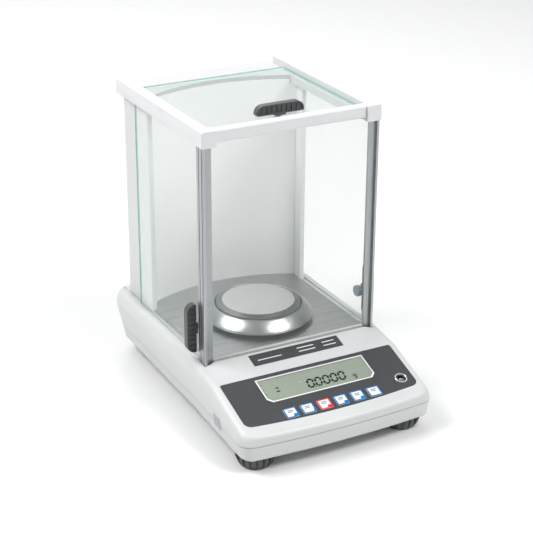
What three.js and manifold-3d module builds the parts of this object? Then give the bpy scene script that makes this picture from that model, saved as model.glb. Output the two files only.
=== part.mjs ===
// Analytical balance with a sliding-door glass draft shield.
// Millimetres, +Z up, the front faces -Y, and the origin is the middle of the footprint at the feet.
import * as THREE from "three";
import { mergeVertices } from "three/addons/utils/BufferGeometryUtils.js";
import Module from "manifold-3d";

const wasm = await Module();
wasm.setup();

// ---------------------------------------------------------------- driving dimensions
const GAP = 0.3; // clearance that neighbours keep
const WALL = 2.5; // wall of the moulded housings

const BASE = { halfWidth: 112, front: -170.75, rear: 170.75, bottom: 16, seam: 32 };
const BASE_CORNER = { front: 13, rear: 26.5 };
const LEDGE_Z = 74; // top of the base under the weighing chamber
const CHAMBER_FRONT = -53.3; // where the sloping front of the base meets the chamber floor

const PANEL = { y: -92.2, z: 66.3, slope: 0.323 }; // rear edge and slope of the control panel
const BAND_SLOPE = 0.29; // the band between the control panel and the front glass
const OVERLAY = { halfWidth: 101, length: 62.6, bow: 4.6, recess: 0.8, skin: 0.5 };
const LCD = { halfWidth: 62.5, near: -37.2, far: -5.8, chamfer: 5 };
const KEYS = { count: 6, first: -48, pitch: 19.5, width: 14.4, depth: 13.4, along: -57.1, deep: 4 };
const LEVEL = { x: 87, along: -49.1, ringRadius: 6.7, boreRadius: 4.7, vialRadius: 3.8 };

const FLOOR = { top: 77.4, sheet: 1.2, halfWidth: 94, flatHalfWidth: 89, front: -52.7 };
const PAN = { y: 16, top: 97.6, discRadius: 39.6, rimRadius: 46.7, rimTop: 95.3 };
const RING = { bore: 47.6, top: 94.7, radius: 59.7 };

const GLASS = 3; // thickness of every pane
const FRAME_BOTTOM = 308; // underside of the top frame
const FRAME_TOP = 325;
const SIDE_GLASS = { outer: 99.5, front: -44.7, rear: 110, bottom: 72.8, top: 310.5 };
const TOP_GLASS = { halfWidth: 88, front: -46, rear: 124, bottom: 317 };
const RAIL = { inner: 84, wall: 89.5, outer: 102, front: -59.5, head: -47.2, rear: 151.5 };

const TOWER = { halfWidth: 96, front: 112.3, rear: 161.5, corner: 20 };
const BACK_ARC = { radius: 184, centreY: -63.4, halfWidth: 89.7 };
const COVER = { halfWidth: 83.7, top: 316.5, plate: 4 };
const POST = { inner: 90, outer: 95.7, front: 84, rear: 112 };

const HANDLE = { length: 54, reach: 12.5, plateFoot: 2, footWidth: 12, thick: 7.5, corner: 8.6 };
const KNOB = { radius: 6.25, length: 5, studRadius: 2.2, holeRadius: 2.6 };
const WHEEL = { x: 86, y: -142, radius: 20.5, top: 15.7, ribs: 16 };
const REAR_FOOT = { x: 78, y: 130, radius: 11 };

// ---------------------------------------------------------------- geometry helpers
const X = new THREE.Vector3(1, 0, 0);
const Y = new THREE.Vector3(0, 1, 0);
const Z = new THREE.Vector3(0, 0, 1);
const MINUS_Y = new THREE.Vector3(0, -1, 0);

// A closed geometry as a manifold solid, turned right side out.
function solid(geometry) {
  const bare = new THREE.BufferGeometry();
  bare.setAttribute("position", geometry.getAttribute("position").clone());
  if (geometry.index) bare.setIndex(geometry.index.clone());
  const merged = mergeVertices(bare, 1e-4);
  const corners = Array.from(merged.index.array);
  const triangles = [];
  for (let i = 0; i < corners.length; i += 3) {
    const [a, b, c] = corners.slice(i, i + 3);
    if (a !== b && b !== c && c !== a) triangles.push(a, b, c);
  }
  const build = (order) =>
    new wasm.Manifold(
      new wasm.Mesh({
        numProp: 3,
        vertProperties: new Float32Array(merged.attributes.position.array),
        triVerts: new Uint32Array(order),
      }),
    );
  const made = build(triangles);
  return made.volume() < 0 ? build(triangles.reverse()) : made;
}

function geometryOf(made) {
  const mesh = made.getMesh();
  const geometry = new THREE.BufferGeometry();
  geometry.setAttribute("position", new THREE.BufferAttribute(new Float32Array(mesh.vertProperties), 3));
  geometry.setIndex(new THREE.BufferAttribute(new Uint32Array(mesh.triVerts), 1));
  return geometry;
}

function cut(body, ...tools) {
  return geometryOf(tools.reduce((rest, tool) => rest.subtract(solid(tool)), solid(body)));
}

function join(...bodies) {
  return geometryOf(bodies.map(solid).reduce((whole, next) => whole.add(next)));
}

function common(a, b) {
  return geometryOf(solid(a).intersect(solid(b)));
}

function box(x0, x1, y0, y1, z0, z1) {
  const geometry = new THREE.BoxGeometry(x1 - x0, y1 - y0, z1 - z0);
  return geometry.translate((x0 + x1) / 2, (y0 + y1) / 2, (z0 + z1) / 2);
}

// A flat outline swept along one axis. Outlines are in (x, y), (x, z) or (y, z).
function prism(shape, along, from, to, curveSegments = 6) {
  const options = { depth: to - from, bevelEnabled: false, curveSegments };
  const geometry = new THREE.ExtrudeGeometry(shape, options);
  const place = new THREE.Matrix4();
  if (along === "x") place.makeBasis(Y, Z, X).setPosition(from, 0, 0);
  if (along === "y") place.makeBasis(X, Z, MINUS_Y).setPosition(0, to, 0);
  if (along === "z") place.setPosition(0, 0, from);
  return geometry.applyMatrix4(place);
}

function polygon(points) {
  return new THREE.Shape(points.map(([a, b]) => new THREE.Vector2(a, b)));
}

// A rectangle with the four corner radii [low-low, high-low, high-high, low-high].
function roundedBox(a0, a1, b0, b1, [r1, r2, r3, r4]) {
  const shape = new THREE.Shape();
  shape.moveTo(a0 + r1, b0);
  shape.lineTo(a1 - r2, b0);
  shape.absarc(a1 - r2, b0 + r2, r2, -Math.PI / 2, 0);
  shape.lineTo(a1, b1 - r3);
  shape.absarc(a1 - r3, b1 - r3, r3, 0, Math.PI / 2);
  shape.lineTo(a0 + r4, b1);
  shape.absarc(a0 + r4, b1 - r4, r4, Math.PI / 2, Math.PI);
  shape.lineTo(a0, b0 + r1);
  shape.absarc(a0 + r1, b0 + r1, r1, Math.PI, 1.5 * Math.PI);
  return shape;
}

function circle(a, b, radius) {
  return new THREE.Shape().absarc(a, b, radius, 0, 2 * Math.PI);
}

// A profile of [radius, height] points turned about Z.
function turned(profile, segments = 48) {
  const points = profile.map(([r, z]) => new THREE.Vector2(r, z));
  return new THREE.LatheGeometry(points, segments).rotateX(Math.PI / 2);
}

function cylinder(x, y, radius, z0, z1, segments = 32) {
  const profile = [[0, z0], [radius, z0], [radius, z1], [0, z1]];
  return turned(profile, segments).translate(x, y, 0);
}

// A value read off straight runs between [position, value] pairs.
function ramp(at, pairs) {
  if (at <= pairs[0][0]) return pairs[0][1];
  for (let i = 1; i < pairs.length; i++) {
    const [a, low] = pairs[i - 1];
    const [b, high] = pairs[i];
    if (at <= b) return low + ((high - low) * (at - a)) / (b - a);
  }
  return pairs[pairs.length - 1][1];
}

function mirrored(geometry) {
  return geometry.clone().applyMatrix4(new THREE.Matrix4().makeScale(-1, 1, 1));
}

// ---------------------------------------------------------------- finishes
const FINISHES = {
  housing: { color: 0xeceeee, roughness: 0.45, metalness: 0 },
  back_wall: { color: 0xc9cccd, roughness: 0.6, metalness: 0 },
  frame: { color: 0xe3e5e6, roughness: 0.4, metalness: 0.2 },
  aluminium: { color: 0xc4c7c9, roughness: 0.32, metalness: 1 },
  brushed: { color: 0xbfc1c2, roughness: 0.35, metalness: 1 },
  polished: { color: 0xd9dbdc, roughness: 0.1, metalness: 1 },
  glass: { color: 0xd6f0ec, roughness: 0.03, metalness: 0 },
  overlay: { color: 0x55565a, roughness: 0.5, metalness: 0 },
  screen: { color: 0xa8b2a0, roughness: 0.3, metalness: 0 },
  key: { color: 0xe9ebee, roughness: 0.45, metalness: 0 },
  grip: { color: 0x3a3b3e, roughness: 0.55, metalness: 0 },
  knob: { color: 0x9aa6b4, roughness: 0.4, metalness: 0 },
  rubber: { color: 0x232426, roughness: 0.8, metalness: 0 },
  board: { color: 0x1d5a37, roughness: 0.6, metalness: 0 },
  vial: { color: 0x9fae62, roughness: 0.1, metalness: 0 },
};

const balance = new THREE.Group();

function add(name, finish, geometry, parent = balance) {
  const material = new THREE.MeshStandardMaterial(FINISHES[finish]);
  const mesh = new THREE.Mesh(geometryOf(solid(geometry)), material);
  mesh.name = name;
  parent.add(mesh);
}

function addPair(name, finish, rightGeometry) {
  add(name + "_left", finish, mirrored(rightGeometry));
  add(name + "_right", finish, rightGeometry);
}

// ---------------------------------------------------------------- base housing
// Height of the top of the base along its middle line.
function crown(y) {
  const rearRound = 10;
  const noseRound = 3.5;
  const rearStart = BASE.rear - rearRound;
  if (y > rearStart) return LEDGE_Z - rearRound + Math.sqrt(rearRound ** 2 - (y - rearStart) ** 2);
  if (y > CHAMBER_FRONT) return LEDGE_Z;
  if (y > PANEL.y) return PANEL.z + BAND_SLOPE * (y - PANEL.y);
  const plane = PANEL.z + PANEL.slope * (y - PANEL.y);
  const past = Math.max(0, BASE.front + noseRound - y);
  return plane - noseRound + Math.sqrt(noseRound ** 2 - past ** 2);
}

// Height of the soft crest along each side of the base.
function crest(y) {
  const start = -141;
  if (y <= start || y >= -45) return crown(y);
  return ramp(y, [[start, crown(start)], [-90, 67.8], [-59, 72], [-45, LEDGE_Z]]);
}

function underside(y) {
  const nose = { length: 2.5, rise: 3 };
  const tail = { length: 4, rise: 5 };
  const intoNose = Math.max(0, (BASE.front + nose.length - y) / nose.length);
  const intoTail = Math.max(0, (y - BASE.rear + tail.length) / tail.length);
  const lift = (end, into) => end.rise * (1 - Math.sqrt(Math.max(0, 1 - into ** 2)));
  return BASE.bottom + lift(nose, intoNose) + lift(tail, intoTail);
}

function halfWidth(y, inset) {
  const widest = BASE.halfWidth - inset;
  const shrink = (distance, radius) => {
    const inside = Math.min(Math.max(distance, 0), radius);
    return radius - Math.sqrt(radius ** 2 - (radius - inside) ** 2);
  };
  const frontLoss = shrink(y - BASE.front - inset, BASE_CORNER.front - inset);
  const rearLoss = shrink(BASE.rear - inset - y, BASE_CORNER.rear - inset);
  return widest - frontLoss - rearLoss;
}

// One closed section of the base at a station y, the same number of points at every station.
function baseSection(y, inset) {
  const width = halfWidth(y, inset);
  const top = crown(y) - inset;
  const crestZ = crest(y) - inset;
  const low = underside(y) + inset;
  const crestX = width - 9.5;
  const flatX = Math.min(ramp(y, [[PANEL.y, 101], [-59, 90], [-53, 90], [-45, 100]]), crestX - 1.5);
  const shoulder = Math.min(12, 0.4 * (crestZ - low));
  const draft = ramp(y, [[-142, 2.5], [-40, 7], [130, 9.5]]);
  const lowRound = Math.min(3, 0.2 * (crestZ - low));
  const lowX = width - draft - lowRound;
  const half = [0, 1, 2, 3].map((i) => [(flatX * i) / 3, top]);
  const arcSteps = 4;
  for (let i = 0; i <= arcSteps; i++) {
    const turn = (i / arcSteps) * (Math.PI / 2);
    half.push([
      crestX + (width - crestX) * Math.sin(turn),
      crestZ - shoulder * (1 - Math.cos(turn)),
    ]);
  }
  half.push([width - draft, low + lowRound]);
  half.push(...[3, 2, 1, 0].map((i) => [(lowX * i) / 3, low]));
  const mirroredHalf = half.slice(1, -1).map(([x, z]) => [-x, z]).reverse();
  return [...half, ...mirroredHalf];
}

// The front of the base bows forward in the middle, in step with the edge of the control foil.
function bowed([x, z], y, inset) {
  const ease = ramp(y, [[-150, 1], [-110, 0]]);
  const back = OVERLAY.bow * (x / OVERLAY.halfWidth) ** 2 * ease;
  const low = underside(y) + inset;
  const share = (z - low) / (crown(y) - inset - low);
  return [x, y + back, z + PANEL.slope * back * share];
}

// Triangles that close a ring by joining its upper run to its lower run.
function capFaces(count) {
  const half = count / 2;
  const mirror = (i) => (count - i) % count;
  const faces = [];
  for (let k = 0; k < (half - 1) / 2; k++) {
    const right = [[k, k + 1, half - 1 - k], [k, half - 1 - k, half - k]];
    const left = right.map(([a, b, c]) => [mirror(a), mirror(c), mirror(b)]);
    faces.push(...right, ...left);
  }
  return faces;
}

function baseBody(inset) {
  const stations = baseStations(inset);
  const rings = stations.map((y) => baseSection(y, inset).map((point) => bowed(point, y, inset)));
  const count = rings[0].length;
  const last = (rings.length - 1) * count;
  const index = [];
  for (let k = 0; k + 1 < rings.length; k++) {
    for (let i = 0; i < count; i++) {
      const a = k * count + i;
      const b = k * count + ((i + 1) % count);
      index.push(a, b, b + count, a, b + count, a + count);
    }
  }
  for (const [a, b, c] of capFaces(count)) {
    index.push(a, c, b);
    index.push(last + a, last + b, last + c);
  }
  const geometry = new THREE.BufferGeometry();
  geometry.setAttribute("position", new THREE.Float32BufferAttribute(rings.flat(2), 3));
  geometry.setIndex(index);
  return geometry;
}

// Stations crowd towards both rounded ends of the base.
function baseStations(inset) {
  const stations = [];
  const endSteps = 5;
  for (let i = 0; i <= endSteps; i++) {
    const reach = 1 - Math.cos((i / endSteps) * (Math.PI / 2));
    stations.push(BASE.front + inset + (BASE_CORNER.front - inset) * reach);
    stations.push(BASE.rear - inset - (BASE_CORNER.rear - inset) * reach);
  }
  stations.push(-150, -130, -110, PANEL.y, -75, -59, CHAMBER_FRONT - 0.3, CHAMBER_FRONT + 0.3, -45, 40);
  return stations.sort((a, b) => a - b);
}

const panelTilt = Math.atan(PANEL.slope);
const panelFrame = new THREE.Matrix4().makeRotationX(panelTilt).setPosition(0, PANEL.y, PANEL.z);
const bandFrame = new THREE.Matrix4()
  .makeRotationX(Math.atan(BAND_SLOPE))
  .setPosition(0, PANEL.y, PANEL.z);
const onPanel = (geometry) => geometry.clone().applyMatrix4(panelFrame);
const onBand = (geometry) => geometry.clone().applyMatrix4(bandFrame);

// Outline of the dark control foil on the panel, grown by a margin.
function overlayOutline(margin) {
  const half = OVERLAY.halfWidth + margin;
  const low = -OVERLAY.length - margin;
  const high = margin;
  const lowRound = 8;
  const highRound = 2.5;
  const shape = new THREE.Shape();
  shape.moveTo(-half + lowRound, low);
  shape.quadraticCurveTo(0, low - 2 * OVERLAY.bow, half - lowRound, low);
  shape.absarc(half - lowRound, low + lowRound, lowRound, -Math.PI / 2, 0);
  shape.lineTo(half, high - highRound);
  shape.absarc(half - highRound, high - highRound, highRound, 0, Math.PI / 2);
  shape.lineTo(-half + highRound, high);
  shape.absarc(-half + highRound, high - highRound, highRound, Math.PI / 2, Math.PI);
  shape.lineTo(-half, low + lowRound);
  shape.absarc(-half + lowRound, low + lowRound, lowRound, Math.PI, 1.5 * Math.PI);
  return shape;
}

function lcdOutline(margin) {
  const half = LCD.halfWidth + margin;
  const near = LCD.near - margin;
  const far = LCD.far + margin;
  const c = LCD.chamfer;
  return polygon([
    [-half + c, near],
    [half - c, near],
    [half, near + c],
    [half, far],
    [-half, far],
    [-half, near + c],
  ]);
}

const keyCentres = Array.from({ length: KEYS.count }, (_, i) => KEYS.first + KEYS.pitch * i);

function keyBlock(x, margin, low, high) {
  const r = 1.2 + margin;
  const half = KEYS.width / 2 + margin;
  const deep = KEYS.depth / 2 + margin;
  const outline = roundedBox(x - half, x + half, KEYS.along - deep, KEYS.along + deep, [r, r, r, r]);
  return prism(outline, "z", low, high, 2);
}

const PORT = { inletX: -62, portX: 20, z: 48, face: 170.4 };
const SOCKET_PANEL = { halfWidth: 83.5, bottom: 32.5, top: 61.5, inside: 168.05, outside: 170.5 };

function portHoles() {
  const { inletX, portX, z } = PORT;
  return [
    prism(circle(inletX, z, 5.8), "y", 160, 180),
    box(portX - 16, portX + 16, 160, 180, z - 6.6, z + 6.6),
  ];
}

function columnPocket(side) {
  const inner = side * 89.7;
  const outer = side * 101.3;
  return box(Math.min(inner, outer), Math.max(inner, outer), -59.3, -44.7, 60, 90);
}

function doorGroove(side) {
  const inner = side * (SIDE_GLASS.outer - GLASS - 0.4);
  const outer = side * (SIDE_GLASS.outer + 0.4);
  return box(Math.min(inner, outer), Math.max(inner, outer), -50, 180, 72.4, 90);
}

const baseOuter = baseBody(0);
const baseInner = baseBody(WALL);
const farOut = 300;

function upperShell() {
  const { halfWidth, top } = SOCKET_PANEL;
  const above = box(-farOut, farOut, -farOut, farOut, BASE.seam + GAP / 2, farOut);
  const openings = [
    prism(overlayOutline(GAP), "z", -OVERLAY.recess, 12),
    prism(lcdOutline(-2.5), "z", -20, 1),
    cylinder(LEVEL.x, LEVEL.along, 5.4, -20, 1, 24),
    ...keyCentres.map((x) => keyBlock(x, 0.4, -20, 1)),
  ].map(onPanel);
  return cut(
    common(baseOuter, above),
    baseInner,
    ...openings,
    onBand(box(-53.3, 53.3, 14.6, 31.7, -0.6, 5)),
    columnPocket(-1),
    columnPocket(1),
    doorGroove(-1),
    doorGroove(1),
    box(-97.8, 97.8, -59.4, -55.6, 74.2, 90),
    cylinder(0, PAN.y, 8, 60, 90, 24),
    box(-halfWidth - GAP, halfWidth + GAP, 160, 180, 30, top + GAP),
  );
}

function lowerTray() {
  const below = box(-farOut, farOut, -farOut, farOut, -farOut, BASE.seam - GAP / 2);
  const floorBottom = BASE.bottom + 0.5;
  const extras = [];
  const holes = [];
  for (const side of [-1, 1]) {
    extras.push(box(side * 95.5 - 4.5, side * 95.5 + 4.5, -57, -47, floorBottom, 65.7));
    extras.push(cylinder(side * WHEEL.x, WHEEL.y, 8, floorBottom, 33, 24));
    holes.push(cylinder(side * WHEEL.x, WHEEL.y, 4.3, 0, 40, 24));
    holes.push(cylinder(side * REAR_FOOT.x, REAR_FOOT.y, 3.3, 0, 40, 24));
  }
  return cut(join(cut(common(baseOuter, below), baseInner), ...extras), ...holes);
}

add("lower_tray", "housing", lowerTray());
add("upper_shell", "housing", upperShell());

// ---------------------------------------------------------------- control panel
function controlOverlay() {
  const skin = prism(overlayOutline(0), "z", -OVERLAY.skin, 0);
  return cut(
    skin,
    prism(lcdOutline(GAP), "z", -5, 5),
    cylinder(LEVEL.x, LEVEL.along, LEVEL.ringRadius + GAP, -5, 5, 24),
    ...keyCentres.map((x) => keyBlock(x, GAP, -5, 5)),
  );
}

function displayModule() {
  const cell = prism(lcdOutline(-2.9), "z", -9, -0.9);
  return join(cell, box(-66, 66, -42, -2, -10.6, -8.9));
}

function levelRing() {
  const { boreRadius, ringRadius } = LEVEL;
  const profile = [
    [boreRadius, -OVERLAY.skin],
    [ringRadius, -OVERLAY.skin],
    [ringRadius, 0.4],
    [ringRadius - 0.6, 0.8],
    [boreRadius + 0.5, 0.8],
    [boreRadius, 0.4],
    [boreRadius, -OVERLAY.skin],
  ];
  return turned(profile, 24).translate(LEVEL.x, LEVEL.along, 0);
}

// The vial stands upright although the panel slopes.
function levelVial() {
  const top = new THREE.Vector3(LEVEL.x, LEVEL.along, -1.4).applyMatrix4(panelFrame);
  return cylinder(top.x, top.y, LEVEL.vialRadius, top.z - 8, top.z, 24);
}

add("control_overlay", "overlay", onPanel(controlOverlay()));
add("display_window", "glass", onPanel(prism(lcdOutline(0), "z", -OVERLAY.skin, 0)));
add("display_module", "screen", onPanel(displayModule()));
add("key_board", "board", onPanel(box(-64, 64, KEYS.along - 8, KEYS.along + 8, -7, -5.4)));
keyCentres.forEach((x, i) => {
  add("key_" + (i + 1), "key", onPanel(keyBlock(x, 0, -KEYS.deep, 0.5)));
});
add("level_ring", "polished", onPanel(levelRing()));
add("level_vial", "vial", levelVial());
add("label_strip", "overlay", onBand(box(-53, 53, 15, 31.3, -0.3, 0.1)));

// ---------------------------------------------------------------- chamber floor and back
function backArcPoints(radius, limit, steps) {
  const reach = Math.asin(limit / radius);
  return Array.from({ length: steps + 1 }, (_, i) => {
    const angle = reach - (2 * reach * i) / steps;
    return [radius * Math.sin(angle), BACK_ARC.centreY + radius * Math.cos(angle)];
  });
}

function floorPlate() {
  const { top, sheet, halfWidth: half, flatHalfWidth: flat, front } = FLOOR;
  const low = LEDGE_Z + GAP;
  const fold = polygon([
    [-half, low],
    [-half + 1.4, low],
    [-flat + 0.6, top - sheet],
    [flat - 0.6, top - sheet],
    [half - 1.4, low],
    [half, low],
    [flat, top],
    [-flat, top],
  ]);
  const postFront = POST.front - GAP;
  const outline = polygon([
    [-farOut, front],
    [farOut, front],
    [farOut, postFront],
    [BACK_ARC.halfWidth, postFront],
    ...backArcPoints(BACK_ARC.radius - GAP, BACK_ARC.halfWidth, 16),
    [-BACK_ARC.halfWidth, postFront],
    [-farOut, postFront],
  ]);
  const sheetBody = prism(fold, "y", -60, 130);
  return cut(common(sheetBody, prism(outline, "z", 0, 200)), cylinder(0, PAN.y, 6, 60, 90, 32));
}

function backWallPanel() {
  const limit = BACK_ARC.halfWidth;
  const frontFace = backArcPoints(BACK_ARC.radius, limit, 20);
  const rearFace = backArcPoints(BACK_ARC.radius + 2, limit, 20).reverse();
  const sheet = prism(polygon([...frontFace, ...rearFace]), "z", LEDGE_Z + GAP, 312.2);
  const shoulder = (side) => box(side * 96.7 - 13, side * 96.7 + 13, 80, 140, 307.5, 330);
  return cut(sheet, shoulder(-1), shoulder(1));
}

function cornerPost() {
  const outline = [[POST.inner, POST.front], [POST.outer, POST.front]];
  const flutes = 6;
  const pitch = (POST.rear - POST.front) / flutes;
  for (let i = 0; i < flutes; i++) {
    const y = POST.front + pitch * (i + 0.5);
    outline.push([POST.outer, y - 0.7], [POST.outer - 0.8, y - 0.4]);
    outline.push([POST.outer - 0.8, y + 0.4], [POST.outer, y + 0.7]);
  }
  outline.push([POST.outer, POST.rear], [POST.inner, POST.rear]);
  return prism(polygon(outline), "z", LEDGE_Z + GAP, FRAME_BOTTOM - GAP);
}

function towerOutline(inset) {
  const half = TOWER.halfWidth - inset;
  const rear = TOWER.rear - inset;
  const r = TOWER.corner - inset;
  const shape = new THREE.Path();
  shape.moveTo(half, TOWER.front);
  shape.lineTo(half, rear - r);
  shape.absarc(half - r, rear - r, r, 0, Math.PI / 2);
  shape.lineTo(-half + r, rear);
  shape.absarc(-half + r, rear - r, r, Math.PI / 2, Math.PI);
  shape.lineTo(-half, TOWER.front);
  return shape.getPoints(8);
}

function rearHousing() {
  const outline = new THREE.Shape([...towerOutline(0), ...towerOutline(WALL).reverse()]);
  return prism(outline, "z", LEDGE_Z + GAP, FRAME_BOTTOM - GAP);
}

function rearTopCover() {
  const front = backArcPoints(BACK_ARC.radius, 110, 32);
  const slab = (inset, z0, z1) => {
    const outline = new THREE.Shape([
      ...front.map(([x, y]) => new THREE.Vector2(x, y)),
      ...towerOutline(inset).slice(1, -1).reverse(),
    ]);
    const half = COVER.halfWidth - inset;
    return common(prism(outline, "z", z0, z1), box(-half, half, 90, 200, z0, z1));
  };
  const plateBottom = COVER.top - COVER.plate;
  return cut(
    slab(0, FRAME_BOTTOM, COVER.top),
    slab(3, 300, plateBottom),
    box(-farOut, farOut, 90, 124, 300, plateBottom),
  );
}

add("floor_plate", "brushed", floorPlate());
add("back_wall_panel", "back_wall", backWallPanel());
addPair("corner_post", "housing", cornerPost());
add("rear_housing", "housing", rearHousing());
add("rear_top_cover", "back_wall", rearTopCover());

// ---------------------------------------------------------------- weighing pan and cell
function weighingPan() {
  const { top, discRadius, rimRadius, rimTop } = PAN;
  return turned([
    [0, 94],
    [4.3, 94],
    [4.3, 86],
    [9, 86],
    [9, top - 1.6],
    [discRadius - 0.4, top - 1.6],
    [rimRadius - 0.4, rimTop - 1],
    [rimRadius, rimTop - 0.6],
    [rimRadius - 0.1, rimTop],
    [discRadius, top],
    [0, top],
  ], 48).translate(0, PAN.y, 0);
}

function draftRing() {
  const { bore, top, radius } = RING;
  return turned([
    [bore, top - 1.2],
    [bore + 0.3, top],
    [51, 92.8],
    [54.6, 89.6],
    [57.6, 86.2],
    [radius, 82.9],
    [58.9, 81.7],
    [53.5, 80.3],
    [50.2, FLOOR.top + GAP],
    [48.6, FLOOR.top + GAP],
    [48.6, 79.3],
    [52.3, 81.7],
    [57.2, 83.1],
    [55.6, 86],
    [51.4, 90.2],
    [bore, top - 1.2],
  ], 48).translate(0, PAN.y, 0);
}

function panSupport() {
  const stem = [[0, 58], [10, 58], [10, 61], [4, 62], [4, 92.6], [3, 93.7], [0, 93.7]];
  return turned(stem, 24).translate(0, PAN.y, 0);
}

function loadCell() {
  const block = box(-22, 22, -2, 100, 25.3, 57.7);
  const guides = [34, 49].map((z) => box(-30, 30, 30, 86, z - 1.5, z + 1.5));
  return cut(block, ...guides, box(-12, 12, 34, 82, 20, 70));
}

function mainBoard() {
  const chips = [[-40, 130], [10, 150], [38, 210], [-20, 232]].map(([x, z]) =>
    box(x, x + 22, 145, 150.5, z, z + 16),
  );
  return join(box(-70, 70, 150, 151.6, 110, 262), ...chips);
}

add("weighing_pan", "brushed", weighingPan());
add("draft_ring", "polished", draftRing());
add("pan_support", "aluminium", panSupport());
add("load_cell", "aluminium", loadCell());
add("load_cell_bracket", "aluminium", box(-35, 35, -5, 115, 18.8, 25));
add("main_board", "board", mainBoard());

// ---------------------------------------------------------------- frame
// Angle section: a side flange, a front flange and a lip over the edge of the front glass.
function column() {
  const lip = [[97.8, -59], [99.6, -59], [100.6, -58.4], [101, -57.4]];
  const outline = [[90, -53], [90, -55.7], [96.3, -55.7], [96.3, -54.4], [97.8, -54.4], ...lip];
  for (const y of [-56.6, -50]) {
    outline.push([101, y - 0.7], [99.6, y - 0.5], [99.6, y + 0.5], [101, y + 0.7]);
  }
  outline.push([101, -45], [98.5, -45], [98.5, -53]);
  return prism(polygon(outline), "z", 66, FRAME_BOTTOM - GAP);
}

function rail() {
  const { inner, wall, outer, front, head, rear } = RAIL;
  const round = 2.5;
  const section = new THREE.Shape();
  section.moveTo(inner, FRAME_BOTTOM);
  section.lineTo(outer, FRAME_BOTTOM);
  section.lineTo(outer, FRAME_TOP - round);
  section.absarc(outer - round, FRAME_TOP - round, round, 0, Math.PI / 2);
  section.lineTo(wall, FRAME_TOP);
  section.lineTo(wall, TOP_GLASS.bottom - GAP);
  section.lineTo(inner, TOP_GLASS.bottom - GAP);
  const nose = roundedBox(86, outer, FRAME_BOTTOM, FRAME_TOP, [0.8, 0.8, round, 0.8]);
  const whole = join(prism(section, "y", head, rear, 4), prism(nose, "y", front, head + 0.5, 4));
  const slot = box(SIDE_GLASS.outer - GLASS - 0.3, SIDE_GLASS.outer + 0.3, -44.9, 160, 300, 311);
  return cut(whole, slot);
}

function frontBar() {
  const section = roundedBox(-57, -47.5, 312, FRAME_TOP, [1, 1, 1, 2.5]);
  return prism(section, "x", -85.7, 85.7, 4);
}

function frontGlass() {
  const outline = polygon([
    [-97.5, 74.5],
    [97.5, 74.5],
    [97.5, 307.7],
    [85.7, 307.7],
    [85.7, 311.4],
    [-85.7, 311.4],
    [-85.7, 307.7],
    [-97.5, 307.7],
  ]);
  return prism(outline, "y", -59, -56);
}

addPair("column", "aluminium", column());
addPair("rail", "frame", rail());
add("front_bar", "frame", frontBar());
add("front_glass", "glass", frontGlass());

// ---------------------------------------------------------------- sliding doors
const HANDLE_Z = 109; // height of the side handles' middles
const HANDLE_Y = { side: -37.25, top: -27.75 };

function sideGlass() {
  const { outer, front, rear, bottom, top } = SIDE_GLASS;
  const pane = box(outer - GLASS, outer, front, rear, bottom, top);
  return cut(pane, prism(circle(HANDLE_Y.side, HANDLE_Z, KNOB.holeRadius), "x", 90, 110));
}

function topGlass() {
  const { halfWidth: half, front, rear, bottom } = TOP_GLASS;
  const pane = box(-half, half, front, rear, bottom, bottom + GLASS);
  return cut(pane, cylinder(0, HANDLE_Y.top, KNOB.holeRadius, 300, 330, 24));
}

// A handle lies in its own frame: length along X, reach away from the glass along Z, front at -Y.
function handle() {
  const { length, reach, plateFoot, footWidth, thick, corner } = HANDLE;
  const half = length / 2;
  const plate = roundedBox(-half, half, plateFoot, reach, [1.5, 1.5, corner, corner]);
  const body = join(
    prism(plate, "y", -thick / 2, thick / 2, 5),
    box(-footWidth / 2, footWidth / 2, -thick / 2, thick / 2, GAP, plateFoot + 1),
  );
  const rim = 1.5;
  const hollow = roundedBox(-half + rim, half - rim, plateFoot + rim, reach - rim,
    [0.4, 0.4, corner - rim - 0.3, corner - rim - 0.3]);
  const pocket = prism(hollow, "y", -thick / 2 - 1, -thick / 2 + 1.2, 4);
  const ribs = Array.from({ length: 8 }, (_, i) => {
    const x = (i - 3.5) * 5.6;
    return box(x - 1.1, x + 1.1, -thick / 2 + 0.2, 0, plateFoot + 1, reach - 1);
  });
  const ribbed = ribs.map((rib) => common(rib, prism(plate, "y", -thick, thick, 5)));
  return join(cut(body, pocket), ...ribbed);
}

function knob() {
  const start = -GLASS - GAP;
  const end = start - KNOB.length;
  return turned([
    [0, end],
    [KNOB.radius - 1, end],
    [KNOB.radius, end + 1],
    [KNOB.radius, start],
    [KNOB.studRadius, start],
    [KNOB.studRadius, -GAP],
    [0, -GAP],
  ], 24);
}

function addDoor(side, glass, at, turn) {
  add("door_glass_" + side, "glass", glass);
  const fitting = new THREE.Group();
  fitting.position.set(...at);
  fitting.rotation.y = turn;
  add("door_handle_" + side, "grip", handle(), fitting);
  add("handle_knob_" + side, "knob", knob(), fitting);
  balance.add(fitting);
}

const topGlassFace = TOP_GLASS.bottom + GLASS;
const sideAt = (x) => [x, HANDLE_Y.side, HANDLE_Z];
addDoor("left", mirrored(sideGlass()), sideAt(-SIDE_GLASS.outer), -Math.PI / 2);
addDoor("right", sideGlass(), sideAt(SIDE_GLASS.outer), Math.PI / 2);
addDoor("top", topGlass(), [0, HANDLE_Y.top, topGlassFace], 0);

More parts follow.
